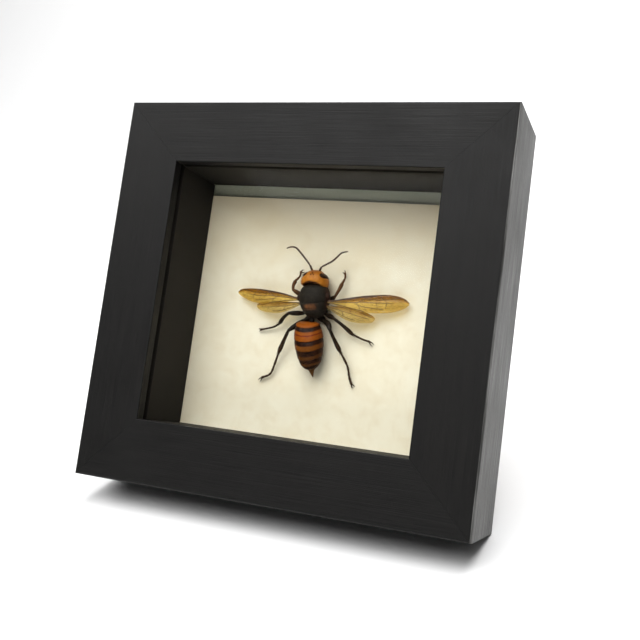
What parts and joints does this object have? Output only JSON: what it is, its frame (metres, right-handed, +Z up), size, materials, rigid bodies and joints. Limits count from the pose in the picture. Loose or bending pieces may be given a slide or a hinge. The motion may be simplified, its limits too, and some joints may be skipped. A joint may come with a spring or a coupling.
{
  "type": "giant hornet specimen in a shadow-box frame",
  "caption": "Spread giant hornet on a parchment card behind glass in a black wooden shadow-box frame that leans back on a strut.",
  "frame": {"origin": "on the floor, under the centre of the object's bounding box", "axes": "+Z up, -Y the way the glass faces, +X to the viewer's right"},
  "size_m": [0.15, 0.0885, 0.1462],
  "materials": {
    "antenna": "matt",
    "grey_board": "matt",
    "parchment_card": "mottled matt",
    "eye": "glossy",
    "wing_membrane": "translucent amber",
    "black_wood": "satin black stained wood",
    "banded_cuticle": "banded semi-gloss cuticle",
    "glass": "clear",
    "orange_cuticle": "semi-gloss cuticle",
    "leg_cuticle": "semi-gloss",
    "mandible": "glossy",
    "glue": "clear glue",
    "dark_cuticle": "finely haired matt cuticle",
    "dark_spacer": "matt dark stain",
    "strut_board": "matt black"
  },
  "bodies": {
    "root": {"antenna_L": "antenna", "antenna_R": "antenna", "backing_board": "grey_board", "card": "parchment_card", "eye_L": "eye", "eye_R": "eye", "forewing_L": "wing_membrane", "forewing_R": "wing_membrane", "frame_bottom": "black_wood", "frame_left": "black_wood", "frame_right": "black_wood", "frame_top": "black_wood", "gaster": "banded_cuticle", "glass_pane": "glass", "head": "orange_cuticle", "hindwing_L": "wing_membrane", "hindwing_R": "wing_membrane", "leg_fore_L": "leg_cuticle", "leg_fore_R": "leg_cuticle", "leg_hind_L": "leg_cuticle", "leg_hind_R": "leg_cuticle", "leg_mid_L": "leg_cuticle", "leg_mid_R": "leg_cuticle", "mandible_L": "mandible", "mandible_R": "mandible", "mounting_pad": "glue", "petiole": "dark_cuticle", "spacer_bottom": "dark_spacer", "spacer_left": "dark_spacer", "spacer_right": "dark_spacer", "spacer_top": "dark_spacer", "stand_strut": "strut_board", "thorax": "dark_cuticle"}
  },
  "joints": []
}
